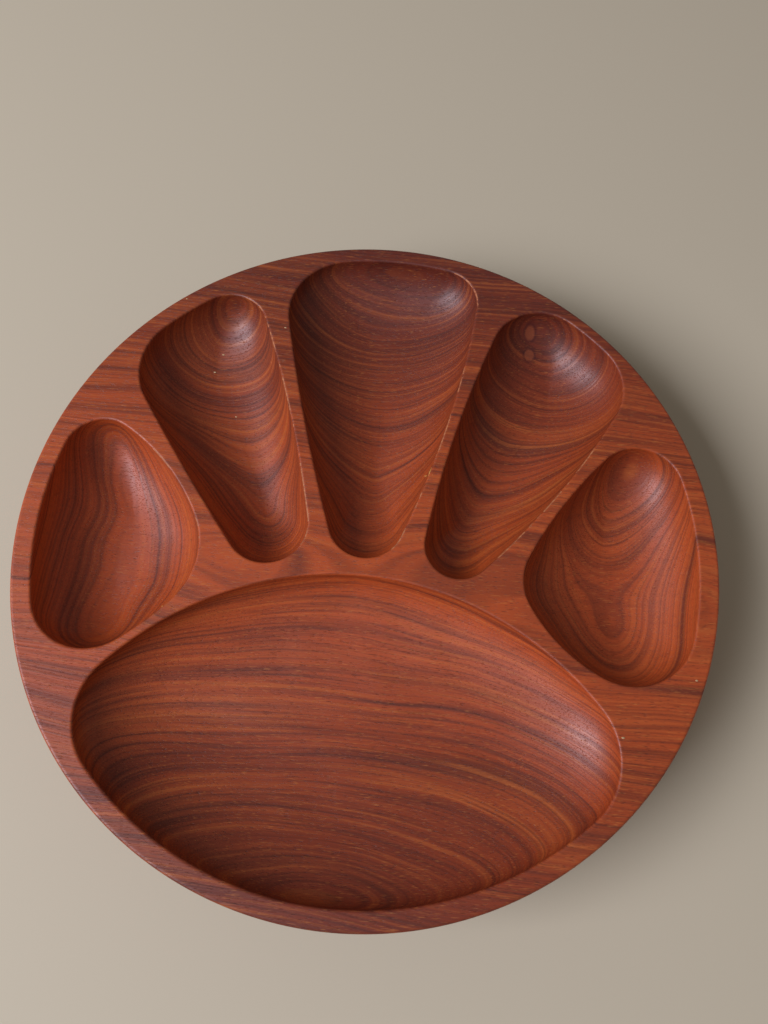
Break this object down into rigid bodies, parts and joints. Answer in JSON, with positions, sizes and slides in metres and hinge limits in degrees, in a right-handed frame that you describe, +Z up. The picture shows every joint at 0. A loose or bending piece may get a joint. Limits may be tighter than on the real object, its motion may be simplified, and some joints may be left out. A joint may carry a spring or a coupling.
{
  "type": "lazy susan turntable",
  "caption": "Thick carved hardwood turntable tray with finger-shaped and palm-shaped hollows, on a hidden ball-bearing swivel above a round wooden base with rubber feet.",
  "frame": {"origin": "on the table, under the turning axis", "axes": "+Z up along the turning axis, +Y towards the middle-finger hollow, +X to the right when the palm hollow is nearest"},
  "size_m": [0.36, 0.36, 0.0632],
  "materials": {
    "tray_hardwood": "oiled satin",
    "base_wood": "oiled satin",
    "zinc_steel": "zinc plated",
    "screw_steel": "zinc plated",
    "ball_steel": "polished",
    "cage_nylon": "moulded",
    "foot_rubber": "moulded"
  },
  "bodies": {
    "base_unit": {"base": "base_wood", "base_screws": "screw_steel", "swivel_lower_plate": "zinc_steel", "swivel_rivet": "zinc_steel", "foot_1": "foot_rubber", "foot_2": "foot_rubber", "foot_3": "foot_rubber", "foot_4": "foot_rubber", "foot_washers": "screw_steel", "foot_screws": "screw_steel"},
    "tray_unit": {"tray": "tray_hardwood", "swivel_upper_plate": "zinc_steel", "tray_screws": "screw_steel"},
    "cage": {"ball_cage": "cage_nylon"},
    "ball_01": {"ball_01": "ball_steel"},
    "ball_02": {"ball_02": "ball_steel"},
    "ball_03": {"ball_03": "ball_steel"},
    "ball_04": {"ball_04": "ball_steel"},
    "ball_05": {"ball_05": "ball_steel"},
    "ball_06": {"ball_06": "ball_steel"},
    "ball_07": {"ball_07": "ball_steel"},
    "ball_08": {"ball_08": "ball_steel"},
    "ball_09": {"ball_09": "ball_steel"},
    "ball_10": {"ball_10": "ball_steel"},
    "ball_11": {"ball_11": "ball_steel"},
    "ball_12": {"ball_12": "ball_steel"},
    "ball_13": {"ball_13": "ball_steel"},
    "ball_14": {"ball_14": "ball_steel"},
    "ball_15": {"ball_15": "ball_steel"},
    "ball_16": {"ball_16": "ball_steel"}
  },
  "joints": [
    {"name": "tray_spin", "type": "hinge", "parent": "base_unit", "child": "tray_unit", "pos_m": [0, 0, 0.0216], "axis": [0, 0, 1], "continuous": true},
    {"name": "cage_orbit", "type": "hinge", "parent": "base_unit", "child": "cage", "pos_m": [0, 0, 0.0216], "axis": [0, 0, 1], "continuous": true},
    {"name": "ball_01_roll", "type": "hinge", "parent": "cage", "child": "ball_01", "pos_m": [0.058, 0, 0.0216], "axis": [1, 0, 0], "continuous": true},
    {"name": "ball_02_roll", "type": "hinge", "parent": "cage", "child": "ball_02", "pos_m": [0.05359, 0.0222, 0.0216], "axis": [0.9239, 0.3827, 0], "continuous": true},
    {"name": "ball_03_roll", "type": "hinge", "parent": "cage", "child": "ball_03", "pos_m": [0.04101, 0.04101, 0.0216], "axis": [0.7071, 0.7071, 0], "continuous": true},
    {"name": "ball_04_roll", "type": "hinge", "parent": "cage", "child": "ball_04", "pos_m": [0.0222, 0.05359, 0.0216], "axis": [0.3827, 0.9239, 0], "continuous": true},
    {"name": "ball_05_roll", "type": "hinge", "parent": "cage", "child": "ball_05", "pos_m": [0, 0.058, 0.0216], "axis": [0, 1, 0], "continuous": true},
    {"name": "ball_06_roll", "type": "hinge", "parent": "cage", "child": "ball_06", "pos_m": [-0.0222, 0.05359, 0.0216], "axis": [-0.3827, 0.9239, 0], "continuous": true},
    {"name": "ball_07_roll", "type": "hinge", "parent": "cage", "child": "ball_07", "pos_m": [-0.04101, 0.04101, 0.0216], "axis": [-0.7071, 0.7071, 0], "continuous": true},
    {"name": "ball_08_roll", "type": "hinge", "parent": "cage", "child": "ball_08", "pos_m": [-0.05359, 0.0222, 0.0216], "axis": [-0.9239, 0.3827, 0], "continuous": true},
    {"name": "ball_09_roll", "type": "hinge", "parent": "cage", "child": "ball_09", "pos_m": [-0.058, 0, 0.0216], "axis": [-1, 0, 0], "continuous": true},
    {"name": "ball_10_roll", "type": "hinge", "parent": "cage", "child": "ball_10", "pos_m": [-0.05359, -0.0222, 0.0216], "axis": [-0.9239, -0.3827, 0], "continuous": true},
    {"name": "ball_11_roll", "type": "hinge", "parent": "cage", "child": "ball_11", "pos_m": [-0.04101, -0.04101, 0.0216], "axis": [-0.7071, -0.7071, 0], "continuous": true},
    {"name": "ball_12_roll", "type": "hinge", "parent": "cage", "child": "ball_12", "pos_m": [-0.0222, -0.05359, 0.0216], "axis": [-0.3827, -0.9239, 0], "continuous": true},
    {"name": "ball_13_roll", "type": "hinge", "parent": "cage", "child": "ball_13", "pos_m": [0, -0.058, 0.0216], "axis": [0, -1, 0], "continuous": true},
    {"name": "ball_14_roll", "type": "hinge", "parent": "cage", "child": "ball_14", "pos_m": [0.0222, -0.05359, 0.0216], "axis": [0.3827, -0.9239, 0], "continuous": true},
    {"name": "ball_15_roll", "type": "hinge", "parent": "cage", "child": "ball_15", "pos_m": [0.04101, -0.04101, 0.0216], "axis": [0.7071, -0.7071, 0], "continuous": true},
    {"name": "ball_16_roll", "type": "hinge", "parent": "cage", "child": "ball_16", "pos_m": [0.05359, -0.0222, 0.0216], "axis": [0.9239, -0.3827, 0], "continuous": true}
  ],
  "couplings": [
    {"joint": "cage_orbit", "follows": "tray_spin", "ratio": 0.5},
    {"joint": "ball_01_roll", "follows": "tray_spin", "ratio": -11.6},
    {"joint": "ball_02_roll", "follows": "tray_spin", "ratio": -11.6},
    {"joint": "ball_03_roll", "follows": "tray_spin", "ratio": -11.6},
    {"joint": "ball_04_roll", "follows": "tray_spin", "ratio": -11.6},
    {"joint": "ball_05_roll", "follows": "tray_spin", "ratio": -11.6},
    {"joint": "ball_06_roll", "follows": "tray_spin", "ratio": -11.6},
    {"joint": "ball_07_roll", "follows": "tray_spin", "ratio": -11.6},
    {"joint": "ball_08_roll", "follows": "tray_spin", "ratio": -11.6},
    {"joint": "ball_09_roll", "follows": "tray_spin", "ratio": -11.6},
    {"joint": "ball_10_roll", "follows": "tray_spin", "ratio": -11.6},
    {"joint": "ball_11_roll", "follows": "tray_spin", "ratio": -11.6},
    {"joint": "ball_12_roll", "follows": "tray_spin", "ratio": -11.6},
    {"joint": "ball_13_roll", "follows": "tray_spin", "ratio": -11.6},
    {"joint": "ball_14_roll", "follows": "tray_spin", "ratio": -11.6},
    {"joint": "ball_15_roll", "follows": "tray_spin", "ratio": -11.6},
    {"joint": "ball_16_roll", "follows": "tray_spin", "ratio": -11.6}
  ]
}
